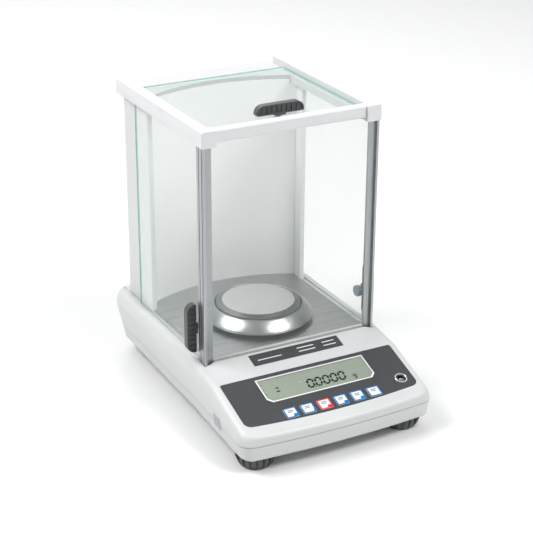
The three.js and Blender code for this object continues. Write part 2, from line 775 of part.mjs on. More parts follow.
// ---------------------------------------------------------------- feet
function footWheel() {
  const { x, y, radius, top, ribs } = WHEEL;
  const rim = radius - 1.7;
  const body = turned([
    [0, 0],
    [rim - 3.6, 0],
    [rim - 1.6, 3],
    [rim, 9],
    [rim, top - 0.8],
    [rim - 0.8, top],
    [4.3, top],
    [4.3, 3.4],
    [0, 3.4],
  ], 32);
  const outline = polygon([
    [rim - 5, 1.2],
    [rim - 2, 1.2],
    [rim, 5],
    [radius, 9.5],
    [radius, top - 0.4],
    [rim - 5, top - 0.4],
  ]);
  const rib = prism(outline, "y", -1, 1);
  const turns = Array.from({ length: ribs }, (_, i) => (2 * Math.PI * i) / ribs);
  return join(body, ...turns.map((turn) => rib.clone().rotateZ(turn))).translate(x, y, 0);
}

function footStud() {
  return cylinder(WHEEL.x, WHEEL.y, 4, 3.7, 31, 24);
}

function rearFoot() {
  const { x, y, radius } = REAR_FOOT;
  const foot = [[0, 0], [radius - 1.5, 0], [radius, 1.5], [radius, 15.7]];
  const profile = [...foot, [3, 15.7], [3, 21], [0, 21]];
  return turned(profile, 24).translate(x, y, 0);
}

addPair("foot_wheel", "rubber", footWheel());
addPair("foot_stud", "aluminium", footStud());
addPair("rear_foot", "rubber", rearFoot());

// ---------------------------------------------------------------- rear sockets
function powerInlet() {
  const { inletX, z, face } = PORT;
  const sleeve = prism(circle(inletX, z, 5.5), "y", 157, face, 8);
  return cut(sleeve, prism(circle(inletX, z, 3.6), "y", 159, 180, 8));
}

function dataPort() {
  const { portX, z, face } = PORT;
  const block = box(portX - 15.5, portX + 15.5, 159, face, z - 6.2, z + 6.2);
  return cut(block, box(portX - 12.5, portX + 12.5, 162, 180, z - 3.8, z + 3.8));
}

add("power_inlet", "rubber", powerInlet());
function socketPanel() {
  const { halfWidth, bottom, top, inside, outside } = SOCKET_PANEL;
  return cut(box(-halfWidth, halfWidth, inside, outside, bottom, top), ...portHoles());
}

add("data_port", "aluminium", dataPort());
add("socket_panel", "back_wall", socketPanel());

export default balance;
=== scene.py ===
"""Analytical balance: the looks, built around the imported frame.

Sizes are millimetres until a mesh is made.
"""

import math

import bmesh
import bpy
from mathutils import Matrix, Vector


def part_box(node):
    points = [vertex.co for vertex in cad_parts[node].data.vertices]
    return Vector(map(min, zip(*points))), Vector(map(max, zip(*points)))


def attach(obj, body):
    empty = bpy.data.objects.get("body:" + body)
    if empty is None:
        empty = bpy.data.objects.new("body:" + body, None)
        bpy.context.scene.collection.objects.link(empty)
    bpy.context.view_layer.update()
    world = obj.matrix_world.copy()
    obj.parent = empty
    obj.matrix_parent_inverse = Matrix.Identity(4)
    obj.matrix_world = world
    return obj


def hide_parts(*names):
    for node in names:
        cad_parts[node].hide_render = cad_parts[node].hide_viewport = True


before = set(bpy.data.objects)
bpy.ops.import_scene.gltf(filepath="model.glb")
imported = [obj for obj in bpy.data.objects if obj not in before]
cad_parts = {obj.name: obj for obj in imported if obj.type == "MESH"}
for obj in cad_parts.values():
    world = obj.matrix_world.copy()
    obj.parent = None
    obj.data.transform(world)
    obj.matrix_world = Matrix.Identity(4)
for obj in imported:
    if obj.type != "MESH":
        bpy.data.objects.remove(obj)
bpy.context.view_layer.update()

MM = 0.001
RIGHT_ANGLE = math.pi / 2


def span(node):
    """Lowest and highest corner of a CAD node in millimetres."""
    low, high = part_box(node)
    return low / MM, high / MM


# ------------------------------------------------------------------ sizes that the frame gives
SHELL_LOW, SHELL_HIGH = span("upper_shell")
TRAY_LOW, _ = span("lower_tray")
GLASS_LOW, GLASS_HIGH = span("door_glass_right")
TOP_LOW, TOP_HIGH = span("door_glass_top")
FRONT_LOW, FRONT_HIGH = span("front_glass")
RAIL_LOW, RAIL_HIGH = span("rail_right")
BAR_LOW, BAR_HIGH = span("front_bar")
COLUMN_LOW, COLUMN_HIGH = span("column_right")
POST_LOW, POST_HIGH = span("corner_post_right")
TOWER_LOW, TOWER_HIGH = span("rear_housing")
COVER_LOW, COVER_HIGH = span("rear_top_cover")
WALL_LOW, WALL_HIGH = span("back_wall_panel")
FLOOR_LOW, FLOOR_HIGH = span("floor_plate")
PAN_LOW, PAN_HIGH = span("weighing_pan")
PAN_Y = (PAN_LOW.y + PAN_HIGH.y) / 2

BASE_HALF = SHELL_HIGH.x
BASE_FRONT = SHELL_LOW.y
BASE_REAR = SHELL_HIGH.y
BASE_BOTTOM = TRAY_LOW.z
SEAM_HALF = 0.15
SEAM_Z = SHELL_LOW.z - SEAM_HALF
SEAM_GROOVE_HALF = 0.4
SEAM_GROOVE_DEPTH = 0.7
FRONT_CORNER = 13.0
REAR_CORNER = 26.5
LEDGE_Z = 74.0
CHAMBER_FRONT = -53.3
PANEL_Y = -92.2
PANEL_Z = 66.3
PANEL_SLOPE = 0.323
BAND_SLOPE = 0.29
WALL = 2.5
GAP = 0.3
BACK_RADIUS = 184.0
BACK_CENTRE_Y = -63.4

# ------------------------------------------------------------------ mesh helpers


def new_piece(name, points, faces):
    """A mesh object from millimetre points, with its faces pointing out."""
    mesh = bpy.data.meshes.new(name)
    mesh.from_pydata([Vector(p) * MM for p in points], [], faces)
    work = bmesh.new()
    work.from_mesh(mesh)
    bmesh.ops.remove_doubles(work, verts=work.verts, dist=1e-7)
    bmesh.ops.recalc_face_normals(work, faces=work.faces)
    work.to_mesh(mesh)
    work.free()
    obj = bpy.data.objects.new(name, mesh)
    bpy.context.scene.collection.objects.link(obj)
    return obj


def bake(obj):
    """Gives an object the mesh that its modifiers make."""
    depsgraph = bpy.context.evaluated_depsgraph_get()
    mesh = bpy.data.meshes.new_from_object(obj.evaluated_get(depsgraph))
    obj.modifiers.clear()
    obj.data = mesh
    mesh.name = obj.name


def combine(obj, others, operation="DIFFERENCE"):
    """Cuts, joins or intersects an object with others, which are used up."""
    for other in others:
        modifier = obj.modifiers.new("boolean", "BOOLEAN")
        modifier.object = other
        modifier.operation = operation
        modifier.solver = "EXACT"
    bake(obj)
    for other in others:
        bpy.data.objects.remove(other)
    return obj


def merge(obj, others):
    """Puts separate meshes into one object, without welding them."""
    work = bmesh.new()
    for part in (obj, *others):
        work.from_mesh(part.data)
    work.to_mesh(obj.data)
    work.free()
    for other in others:
        bpy.data.objects.remove(other)
    return obj


def soften(obj, width, segments=3, angle=30):
    """Rounds an object's sharp edges by a width in millimetres and shades it smooth."""
    bevel = obj.modifiers.new("soft_edges", "BEVEL")
    bevel.width = width * MM
    bevel.segments = segments
    bevel.limit_method = "ANGLE"
    bevel.angle_limit = math.radians(angle)
    bevel.harden_normals = True
    obj.data.shade_smooth()
    return obj


def smooth(obj, angle=32):
    obj.data.shade_smooth()
    obj.data.set_sharp_from_angle(angle=math.radians(angle))
    return obj


def dress(obj, body, materials, stands_for=()):
    """Gives a piece its materials, the body that it rides on and the CAD nodes that it stands for."""
    for material in materials:
        obj.data.materials.append(material)
    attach(obj, body)
    if stands_for:
        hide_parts(*stands_for)
    return obj


def prism(name, outline, axis, low, high, matrix=None):
    """A flat outline swept along an axis. The outline is in (x, y), (x, z) or (y, z)."""
    place = {
        "x": lambda a, b, t: (t, a, b),
        "y": lambda a, b, t: (a, t, b),
        "z": lambda a, b, t: (a, b, t),
    }[axis]
    count = len(outline)
    points = [place(a, b, t) for t in (low, high) for a, b in outline]
    faces = [tuple(range(count)), tuple(range(2 * count - 1, count - 1, -1))]
    for i in range(count):
        j = (i + 1) % count
        faces.append((i, j, count + j, count + i))
    if matrix:
        points = [matrix @ Vector(p) for p in points]
    return new_piece(name, points, faces)


def box(name, low, high, matrix=None):
    outline = [(low[0], low[1]), (high[0], low[1]), (high[0], high[1]), (low[0], high[1])]
    return prism(name, outline, "z", low[2], high[2], matrix)


def arc(centre_a, centre_b, radius, start, end, steps):
    """Points of an arc, with its angles in degrees."""
    points = []
    for i in range(steps + 1):
        turn = math.radians(start + (end - start) * i / steps)
        points.append((centre_a + radius * math.cos(turn), centre_b + radius * math.sin(turn)))
    return points


def rounded(a0, a1, b0, b1, radii, steps=8):
    """A rectangle with corner radii in the order low-low, high-low, high-high, low-high."""
    r1, r2, r3, r4 = radii
    return [
        *arc(a0 + r1, b0 + r1, r1, 180, 270, steps),
        *arc(a1 - r2, b0 + r2, r2, 270, 360, steps),
        *arc(a1 - r3, b1 - r3, r3, 0, 90, steps),
        *arc(a0 + r4, b1 - r4, r4, 90, 180, steps),
    ]


def circle(a, b, radius, steps=48):
    return arc(a, b, radius, 0, 360 - 360 / steps, steps - 1)


def turned(name, profile, centre=(0, 0, 0), segments=128, matrix=None):
    """A profile of (radius, height) points turned about Z. It starts and ends on the axis or closes."""
    points = []
    rings = []
    for radius, height in profile:
        if radius < 1e-6:
            rings.append([len(points)] * segments)
            points.append((centre[0], centre[1], centre[2] + height))
            continue
        rings.append(list(range(len(points), len(points) + segments)))
        for i in range(segments):
            turn = 2 * math.pi * i / segments
            x = centre[0] + radius * math.cos(turn)
            y = centre[1] + radius * math.sin(turn)
            points.append((x, y, centre[2] + height))
    faces = []
    closed = profile[0][0] > 1e-6
    pairs = list(zip(rings, rings[1:] + rings[:1])) if closed else list(zip(rings, rings[1:]))
    for lower, upper in pairs:
        for i in range(segments):
            j = (i + 1) % segments
            face = list(dict.fromkeys((lower[i], lower[j], upper[j], upper[i])))
            if len(face) > 2:
                faces.append(face)
    if matrix:
        points = [matrix @ Vector(p) for p in points]
    return new_piece(name, points, faces)


def smooth_path(points, steps):
    """A Catmull-Rom curve through an open run of points."""
    ends = [points[0], *points, points[-1]]
    path = []
    for p0, p1, p2, p3 in zip(ends, ends[1:], ends[2:], ends[3:]):
        for i in range(steps):
            t = i / steps
            path.append(tuple(
                0.5 * (2 * b + (c - a) * t + (2 * a - 5 * b + 4 * c - d) * t * t
                       + (3 * b - a - 3 * c + d) * t ** 3)
                for a, b, c, d in zip(p0, p1, p2, p3)
            ))
    path.append(points[-1])
    return path


def ramp(at, pairs):
    """A value that eases between (position, value) pairs."""
    if at <= pairs[0][0]:
        return pairs[0][1]
    for (a, low), (b, high) in zip(pairs, pairs[1:]):
        if at <= b:
            return low + (high - low) * (at - a) / (b - a)
    return pairs[-1][1]


# ------------------------------------------------------------------ materials


def node_material(name, color, roughness, metallic=0.0, mottling=0.03, mottle_scale=40.0, grain=0.05,
                  grain_scale=900.0, stretch=(1, 1, 1), bump=0.15, depth=0.03, alpha=1.0, coat=0.0,
                  specular=0.5):
    """Principled material with mottled colour, uneven gloss and a fine bump. Depth is in millimetres."""
    material = bpy.data.materials.new(name)
    material.use_nodes = True
    nodes = material.node_tree.nodes
    links = material.node_tree.links
    shader = nodes["Principled BSDF"]
    shader.inputs["Metallic"].default_value = metallic
    shader.inputs["Alpha"].default_value = alpha
    shader.inputs["Coat Weight"].default_value = coat
    shader.inputs["Specular IOR Level"].default_value = specular
    coords = nodes.new("ShaderNodeTexCoord")
    mapping = nodes.new("ShaderNodeMapping")
    mapping.inputs["Scale"].default_value = stretch
    links.new(coords.outputs["Object"], mapping.inputs["Vector"])

    def noise(scale, detail):
        texture = nodes.new("ShaderNodeTexNoise")
        texture.inputs["Scale"].default_value = scale
        texture.inputs["Detail"].default_value = detail
        links.new(mapping.outputs["Vector"], texture.inputs["Vector"])
        return texture

    broad = noise(mottle_scale, 3.0)
    fine = noise(grain_scale, 4.0)
    mix = nodes.new("ShaderNodeMix")
    mix.data_type = "RGBA"
    dark = [c * (1 - mottling) for c in color]
    light = [min(1.0, c * (1 + mottling)) for c in color]
    mix.inputs["A"].default_value = (*dark, 1)
    mix.inputs["B"].default_value = (*light, 1)
    links.new(broad.outputs["Fac"], mix.inputs["Factor"])
    links.new(mix.outputs["Result"], shader.inputs["Base Color"])
    spread = nodes.new("ShaderNodeMapRange")
    spread.inputs["To Min"].default_value = max(0.02, roughness - grain)
    spread.inputs["To Max"].default_value = roughness + grain
    links.new(fine.outputs["Fac"], spread.inputs["Value"])
    links.new(spread.outputs["Result"], shader.inputs["Roughness"])
    relief = nodes.new("ShaderNodeBump")
    relief.inputs["Strength"].default_value = bump
    relief.inputs["Distance"].default_value = depth * MM
    links.new(fine.outputs["Fac"], relief.inputs["Height"])
    links.new(relief.outputs["Normal"], shader.inputs["Normal"])
    return material


def glass_material(name, color, clear, edge_on):
    """A clear sheet that shows more at a glancing view."""
    material = node_material(name, color, 0.03, mottling=0.01, grain=0.01, bump=0.0)
    nodes = material.node_tree.nodes
    links = material.node_tree.links
    weight = nodes.new("ShaderNodeLayerWeight")
    weight.inputs["Blend"].default_value = 0.5
    power = nodes.new("ShaderNodeMath")
    power.operation = "POWER"
    power.inputs[1].default_value = 4.0
    links.new(weight.outputs["Facing"], power.inputs[0])
    spread = nodes.new("ShaderNodeMapRange")
    spread.inputs["To Min"].default_value = clear
    spread.inputs["To Max"].default_value = edge_on
    links.new(power.outputs["Value"], spread.inputs["Value"])
    links.new(spread.outputs["Result"], nodes["Principled BSDF"].inputs["Alpha"])
    return material


WHITE = node_material("white_plastic", (0.55, 0.56, 0.56), 0.42, mottling=0.012, grain_scale=1400.0,
                      bump=0.12)
FRAME_PAINT = node_material("frame_paint", (0.62, 0.63, 0.64), 0.34, mottling=0.012, grain_scale=700.0,
                            bump=0.06)
BACK_PAINT = node_material("back_paint", (0.95, 0.95, 0.95), 0.5, mottling=0.015, grain_scale=2500.0,
                           bump=0.05)
POST_PAINT = node_material("post_paint", (0.82, 0.83, 0.83), 0.45, mottling=0.012, grain_scale=1400.0,
                           bump=0.1)
COVER_PAINT = node_material("cover_brushed", (0.55, 0.56, 0.57), 0.38, mottling=0.10, mottle_scale=600.0,
                            grain=0.08, grain_scale=2500.0, stretch=(0.015, 1, 1), bump=0.3)
ALUMINIUM = node_material("drawn_aluminium", (0.40, 0.41, 0.43), 0.32, metallic=1.0, mottling=0.06,
                          mottle_scale=500.0, grain=0.08, grain_scale=2500.0, stretch=(1, 1, 0.01), bump=0.25)
CAST = node_material("milled_aluminium", (0.68, 0.69, 0.70), 0.38, metallic=1.0, grain_scale=1500.0, bump=0.2)
BRUSHED = node_material("brushed_steel", (0.50, 0.50, 0.51), 0.34, metallic=1.0, mottling=0.22,
                        mottle_scale=260.0, grain=0.07, grain_scale=3000.0, stretch=(0.02, 1, 1), bump=0.4)
# The same steel as the pan top, with a much darker base colour: a painted dark reflection on the pan's bevel,
# rim and underside.
PAN_BEVEL_PAINTED_REFLECTION = node_material("pan_bevel_painted_reflection", (0.30, 0.30, 0.31), 0.24, metallic=1.0, mottling=0.05,
                          mottle_scale=300.0, grain=0.05, grain_scale=1800.0, bump=0.06)
PAN_TOP = node_material("pan_brushed", (0.80, 0.80, 0.81), 0.36, metallic=1.0, mottling=0.05,
                        mottle_scale=800.0, grain=0.08, grain_scale=3500.0, stretch=(1, 0.02, 1), bump=0.35)
POLISHED = node_material("polished_steel", (0.48, 0.48, 0.49), 0.29, metallic=1.0, mottling=0.02,
                         mottle_scale=200.0, grain=0.03, grain_scale=1800.0, bump=0.04)
CHROME = node_material("bright_ring", (0.90, 0.91, 0.92), 0.24, metallic=0.6, grain=0.03, bump=0.05)
FOIL = node_material("dark_foil", (0.050, 0.052, 0.056), 0.52, mottling=0.05, grain_scale=1800.0, bump=0.25,
                     specular=0.3)
GRIP = node_material("grip_plastic", (0.070, 0.071, 0.075), 0.46, mottling=0.08, grain_scale=1600.0, bump=0.3)
KNOB_PLASTIC = node_material("knob_plastic", (0.26, 0.30, 0.35), 0.35, mottling=0.05, bump=0.1)
RUBBER = node_material("foot_rubber", (0.028, 0.029, 0.031), 0.5, mottling=0.15, grain_scale=1200.0, bump=0.4)
WHEEL_PLASTIC = node_material("wheel_plastic", (0.095, 0.097, 0.10), 0.42, mottling=0.1, grain_scale=1500.0,
                              bump=0.2)
SOCKET = node_material("socket_plastic", (0.02, 0.02, 0.022), 0.45, mottling=0.1, bump=0.2)
BOARD = node_material("board_mask", (0.02, 0.16, 0.07), 0.45, mottling=0.15, grain_scale=600.0)
LCD_FACE = node_material("lcd_face", (0.245, 0.285, 0.23), 0.42, mottling=0.04, mottle_scale=25.0, bump=0.03)
LCD_INK = node_material("lcd_ink", (0.003, 0.003, 0.003), 0.6, mottling=0.1, bump=0.05, specular=0.1)
PRINT_WHITE = node_material("print_white", (0.78, 0.79, 0.80), 0.45, mottling=0.02, bump=0.05)
KEY_FACE = node_material("key_face", (0.72, 0.73, 0.75), 0.42, mottling=0.02, grain_scale=1800.0, bump=0.15)
KEY_BLUE = node_material("key_blue", (0.0, 0.155, 0.42), 0.5, mottling=0.05, grain_scale=1800.0, bump=0.15)
KEY_RED = node_material("key_red", (0.68, 0.015, 0.02), 0.4, mottling=0.05, grain_scale=1800.0, bump=0.15)
KEY_MARK = node_material("key_mark", (0.07, 0.08, 0.11), 0.5, mottling=0.05, bump=0.1)
STICKER = node_material("sticker_foil", (0.34, 0.36, 0.39), 0.4, mottling=0.9, mottle_scale=450.0, bump=0.1)
VIAL_LIQUID = node_material("vial_liquid", (0.14, 0.145, 0.14), 0.2, mottling=0.1, bump=0.0)
BUBBLE = node_material("vial_bubble", (0.34, 0.36, 0.34), 0.2, mottling=0.02, bump=0.0)
GLASS = glass_material("pane_glass", (0.42, 0.50, 0.45), 0.08, 0.34)
SCREEN_GLASS = glass_material("screen_window", (0.75, 0.78, 0.74), 0.01, 0.25)
GLASS_EDGE = node_material("pane_edge", (0.20, 0.58, 0.50), 0.18, mottling=0.12, mottle_scale=120.0,
                           grain=0.06, bump=0.08, alpha=0.92)

# ------------------------------------------------------------------ camera, light and stage
CAMERA_PLACE = Vector((-692.0, -1295.7, 783.2))
CAMERA_AZIMUTH = math.radians(-28.159)
CAMERA_ELEVATION = math.radians(23.581)
CAMERA_ROLL = math.radians(0.281)
CAMERA_LENS = 101.23


def make_camera():
    a, e, r = CAMERA_AZIMUTH, CAMERA_ELEVATION, CAMERA_ROLL
    back = Vector((math.sin(a) * math.cos(e), -math.cos(a) * math.cos(e), math.sin(e)))
    level = Vector((math.cos(a), math.sin(a), 0))
    upright = back.cross(level)
    right = level * math.cos(r) + upright * math.sin(r)
    up = upright * math.cos(r) - level * math.sin(r)
    data = bpy.data.cameras.new("camera")
    data.lens = CAMERA_LENS
    data.sensor_width = 36.0
    data.clip_end = 100.0
    camera = bpy.data.objects.new("camera", data)
    turn = Matrix((right, up, back)).transposed().to_4x4()
    camera.matrix_world = Matrix.Translation(CAMERA_PLACE * MM) @ turn
    bpy.context.scene.collection.objects.link(camera)
    bpy.context.scene.camera = camera


def area_light(name, place, target, size, power):
    data = bpy.data.lights.new(name, "AREA")
    data.shape = "RECTANGLE"
    data.size, data.size_y = size
    data.energy = power
    light = bpy.data.objects.new(name, data)
    light.location = place
    aim = Vector(target) - Vector(place)
    light.rotation_euler = aim.to_track_quat("-Z", "Y").to_euler()
    bpy.context.scene.collection.objects.link(light)


def make_world():
    """Mid grey at the horizon, darker overhead, so that metal has something to reflect."""
    world = bpy.data.worlds.new("studio")
    bpy.context.scene.world = world
    world.use_nodes = True
    nodes = world.node_tree.nodes
    links = world.node_tree.links
    coords = nodes.new("ShaderNodeTexCoord")
    split = nodes.new("ShaderNodeSeparateXYZ")
    shade = nodes.new("ShaderNodeValToRGB")
    shade.color_ramp.elements[0].position = 0.0
    shade.color_ramp.elements[0].color = (0.50, 0.505, 0.51, 1)
    shade.color_ramp.elements[1].position = 0.75
    shade.color_ramp.elements[1].color = (0.34, 0.345, 0.35, 1)
    links.new(coords.outputs["Generated"], split.inputs["Vector"])
    links.new(split.outputs["Z"], shade.inputs["Fac"])
    links.new(shade.outputs["Color"], nodes["Background"].inputs["Color"])
    nodes["Background"].inputs["Strength"].default_value = 1.0


def make_stage():
    floor = box("studio_floor", (-6000, -6000, -10), (6000, 9000, 0))
    paper = node_material("floor_paper", (0.76, 0.76, 0.76), 0.9, mottling=0.0, grain=0.02, bump=0.0,
                          specular=0.1)
    floor.data.materials.append(paper)


make_camera()
make_world()
make_stage()
area_light("softbox_left", (-1.6, 0.5, 2.15), (0, 0, 0.1), (1.4, 1.1), 56)
area_light("softbox_front", (0.85, -1.35, 2.1), (0, 0, 0.1), (1.1, 0.9), 44)
area_light("softbox_rear", (0.4, 2.2, 2.4), (0, 0, 0.1), (2.2, 1.2), 38)
bpy.context.scene.view_settings.view_transform = "Standard"

# ------------------------------------------------------------------ base


def crown(y):
    """Height of the top of the base along its middle line."""
    rear_round = 10.0
    nose_round = 3.5
    rear_start = BASE_REAR - rear_round
    if y > rear_start:
        return LEDGE_Z - rear_round + math.sqrt(max(0.0, rear_round ** 2 - (y - rear_start) ** 2))
    if y > CHAMBER_FRONT:
        return LEDGE_Z
    if y > PANEL_Y:
        return PANEL_Z + BAND_SLOPE * (y - PANEL_Y)
    past = max(0.0, BASE_FRONT + nose_round - y)
    plane = PANEL_Z + PANEL_SLOPE * (y - PANEL_Y)
    return plane - nose_round + math.sqrt(max(0.0, nose_round ** 2 - past ** 2))


def crest(y):
    """Height of the soft crest along each side."""
    start = -141.0
    if y <= start or y >= -45:
        return crown(y)
    return ramp(y, [(start, crown(start)), (-90, 67.8), (-59, 72), (-45, LEDGE_Z)])


def underside(y):
    def lift(rise, into):
        return rise * (1 - math.sqrt(max(0.0, 1 - into ** 2)))

    into_nose = max(0.0, (BASE_FRONT + 2.5 - y) / 2.5)
    into_tail = max(0.0, (y - BASE_REAR + 4) / 4)
    return BASE_BOTTOM + lift(3, into_nose) + lift(5, into_tail)


def half_width(y, inset):
    def loss(distance, radius):
        inside = min(max(distance, 0.0), radius)
        return radius - math.sqrt(max(0.0, radius ** 2 - (radius - inside) ** 2))

    front = loss(y - BASE_FRONT - inset, FRONT_CORNER - inset)
    rear = loss(BASE_REAR - inset - y, REAR_CORNER - inset)
    return BASE_HALF - inset - front - rear


def side_draft(y):
    return ramp(y, [(-142, 2.5), (-40, 7), (130, 9.5)])


def base_section(y, inset, arc_steps):
    width = half_width(y, inset)
    top = crown(y) - inset
    crest_z = crest(y) - inset
    low = underside(y) + inset
    crest_x = width - 9.5
    flat_x = min(ramp(y, [(PANEL_Y, 101), (-59, 90), (-53, 90), (-45, 100)]), crest_x - 1.5)
    shoulder = min(12.0, 0.4 * (crest_z - low))
    draft = side_draft(y)
    low_round = min(3.0, 0.2 * (crest_z - low))
    low_x = width - draft - low_round
    half = [(flat_x * i / 8, top) for i in range(9)]
    for i in range(arc_steps + 1):
        turn = RIGHT_ANGLE * i / arc_steps
        half.append((
            crest_x + (width - crest_x) * math.sin(turn),
            crest_z - shoulder * (1 - math.cos(turn)),
        ))
    for i in range(4):
        turn = RIGHT_ANGLE * i / 4
        half.append((low_x + low_round * math.cos(turn), low + low_round * (1 - math.sin(turn))))
    half += [(low_x * i / 8, low) for i in range(8, -1, -1)]
    return half + [(-x, z) for x, z in reversed(half[1:-1])]


def bowed(x, y, z, inset):
    """The front of the base bows forward in the middle, in step with the edge of the control foil."""
    back = OVERLAY_BOW * (x / OVERLAY_HALF) ** 2 * ramp(y, [(-150, 1), (-110, 0)])
    low = underside(y) + inset
    share = (z - low) / (crown(y) - inset - low)
    return x, y + back, z + PANEL_SLOPE * back * share


def cap_faces(count):
    """Faces that close a ring by joining its upper run to its lower run."""
    half = count // 2
    faces = []
    for k in range(half // 2):
        right = list(dict.fromkeys((k, k + 1, half - 1 - k, half - k)))
        if len(right) > 2:
            faces.append(right)
            faces.append([(count - i) % count for i in reversed(right)])
    return faces


def base_body(name, inset, end_steps, arc_steps):
    """The closed body of the base, grown from sections along Y."""
    stations = [-150, -141, PANEL_Y, -90, -59, CHAMBER_FRONT - 0.3, CHAMBER_FRONT + 0.3, -45, -40, 130]
    stations += [-155, -145, -135, -130, -125, -120, -115, -110, -105, -100, -80, -70, -20, 20, 60, 100]
    for i in range(end_steps + 1):
        reach = 1 - math.cos(RIGHT_ANGLE * i / end_steps)
        stations.append(BASE_FRONT + inset + (FRONT_CORNER - inset) * reach)
        stations.append(BASE_REAR - inset - (REAR_CORNER - inset) * reach)
    stations = sorted(set(round(y, 4) for y in stations))
    rings = [[bowed(x, y, z, inset) for x, z in base_section(y, inset, arc_steps)] for y in stations]
    count = len(rings[0])
    points = [point for ring in rings for point in ring]
    last = len(points) - count
    faces = [list(reversed(face)) for face in cap_faces(count)]
    faces += [[last + i for i in face] for face in cap_faces(count)]
    for k in range(len(rings) - 1):
        for i in range(count):
            j = (i + 1) % count
            faces.append((k * count + i, k * count + j, (k + 1) * count + j, (k + 1) * count + i))
    return new_piece(name, points, faces)


def tilted(slope):
    return Matrix.Translation((0, PANEL_Y, PANEL_Z)) @ Matrix.Rotation(math.atan(slope), 4, "X")


PANEL = tilted(PANEL_SLOPE)
BAND = tilted(BAND_SLOPE)
OVERLAY_HALF = 101.0
OVERLAY_LENGTH = 62.6
OVERLAY_BOW = 4.6
KEY_CENTRES = [-48 + 19.5 * i for i in range(6)]
KEY_ALONG = -57.1
KEY_WIDTH = 14.4
KEY_DEPTH = 13.4
LEVEL_X = 87.0
LEVEL_ALONG = -49.1


def overlay_outline(margin):
    half = OVERLAY_HALF + margin
    low = -OVERLAY_LENGTH - margin
    edge = half - 8
    bow = [
        (edge * t, low - OVERLAY_BOW * (1 - t * t))
        for t in (i / 12 for i in range(-11, 12))
    ]
    return [
        *arc(-half + 8, low + 8, 8, 180, 268, 10),
        *bow,
        *arc(half - 8, low + 8, 8, 272, 360, 10),
        *arc(half - 2.5, margin - 2.5, 2.5, 0, 90, 6),
        *arc(-half + 2.5, margin - 2.5, 2.5, 90, 180, 6),
    ]


def lcd_outline(margin):
    half = 62.5 + margin
    near = -37.2 - margin
    far = -5.8 + margin
    c = 5.0
    return [
        (-half + c, near), (half - c, near), (half, near + c), (half, far), (-half, far), (-half, near + c),
    ]


def key_outline(x, margin, radius=1.2):
    half = KEY_WIDTH / 2 + margin
    deep = KEY_DEPTH / 2 + margin
    r = max(0.3, radius + margin)
    return rounded(x - half, x + half, KEY_ALONG - deep, KEY_ALONG + deep, (r, r, r, r), 4)


def make_shell():
    shell = base_body("base_shell", 0, 14, 10)
    tray = base_body("base_tray", 0, 14, 10)
    far = 400
    combine(shell, [box("above", (-far, -far, SEAM_Z + SEAM_HALF), (far, far, far))], "INTERSECT")
    # The opening goes first: cut last, it leaves its box standing instead of a hole.
    panel_low, panel_high = span("socket_panel")
    opening_high = (panel_high.x + GAP, 178, panel_high.z + GAP)
    opening = box("panel_opening", (panel_low.x - GAP, 160, 28), opening_high)
    combine(shell, [opening])
    combine(tray, [box("below", (-far, -far, -far), (far, far, SEAM_Z - SEAM_HALF))], "INTERSECT")
    cutters = [
        base_body("cavity", WALL, 8, 6),
        prism("recess", overlay_outline(GAP), "z", -0.8, 12, PANEL),
        prism("lcd_hole", lcd_outline(-2.5), "z", -20, -0.5, PANEL),
        prism("level_hole", circle(LEVEL_X, LEVEL_ALONG, 5.4), "z", -20, -0.5, PANEL),
        box("band_recess", (-53.3, 14.6, -0.6), (53.3, 31.7, 5), BAND),
        box("glass_slot", (-97.8, FRONT_LOW.y - 0.1, 74.2), (97.8, FRONT_HIGH.y + 0.1, 90)),
    ]
    cutters += [prism("key_hole", key_outline(x, 0.4), "z", -20, -0.5, PANEL) for x in KEY_CENTRES]
    for side in (-1, 1):
        xs = sorted((side * 89.7, side * 101.3))
        cutters.append(box("column_hole", (xs[0], COLUMN_LOW.y - 0.3, 60), (xs[1], COLUMN_HIGH.y + 0.3, 90)))
        xs = sorted((side * (GLASS_LOW.x - 0.4), side * (GLASS_HIGH.x + 0.4)))
        cutters.append(box("door_groove", (xs[0], -50, 72.4), (xs[1], 180, 90)))
    combine(shell, cutters)
    combine(tray, [base_body("tray_cavity", WALL, 8, 6)])
    for piece in (shell, tray):
        groove = box("seam", (-far, -far, SEAM_Z - SEAM_GROOVE_HALF), (far, far, SEAM_Z + SEAM_GROOVE_HALF))
        combine(groove, [base_body("seam_core", SEAM_GROOVE_DEPTH, 14, 10)])
        combine(piece, [groove])
    for piece, node in ((shell, "upper_shell"), (tray, "lower_tray")):
        smooth(piece, 30)
        dress(piece, "base", [WHITE], [node])


def side_x(y, z):
    """Half-width of the base's drafted side at a height below the shoulder."""
    width = half_width(y, 0)
    top = crest(y) - min(12.0, 0.4 * (crest(y) - underside(y)))
    low = underside(y) + 3
    return width - side_draft(y) * (top - z) / (top - low)


def make_sticker():
    """A plain foil sticker on the left side, near the front."""
    columns, rows = 8, 6
    front, rear, low, high = -113.0, -95.5, 26.3, 40.2
    points = []
    for lift in (0.04, 0.16):
        for i in range(columns + 1):
            for k in range(rows + 1):
                y = front + (rear - front) * i / columns
                z = low + (high - low) * k / rows
                points.append((-side_x(y, z) - lift, y, z))
    row = rows + 1
    layer = row * (columns + 1)
    faces = []
    for i in range(columns):
        for k in range(rows):
            a = i * row + k
            quad = (a, a + 1, a + row + 1, a + row)
            faces.append(quad)
            faces.append(tuple(layer + q for q in quad))
    rim = [k for k in range(row)] + [i * row + rows for i in range(1, columns + 1)]
    rim += [columns * row + k for k in range(rows - 1, -1, -1)] + [i * row for i in range(columns - 1, 0, -1)]
    for a, b in zip(rim, rim[1:] + rim[:1]):
        faces.append((a, b, b + layer, a + layer))
    dress(smooth(new_piece("side_sticker", points, faces)), "base", [STICKER])


make_shell()
make_sticker()

# ------------------------------------------------------------------ control panel


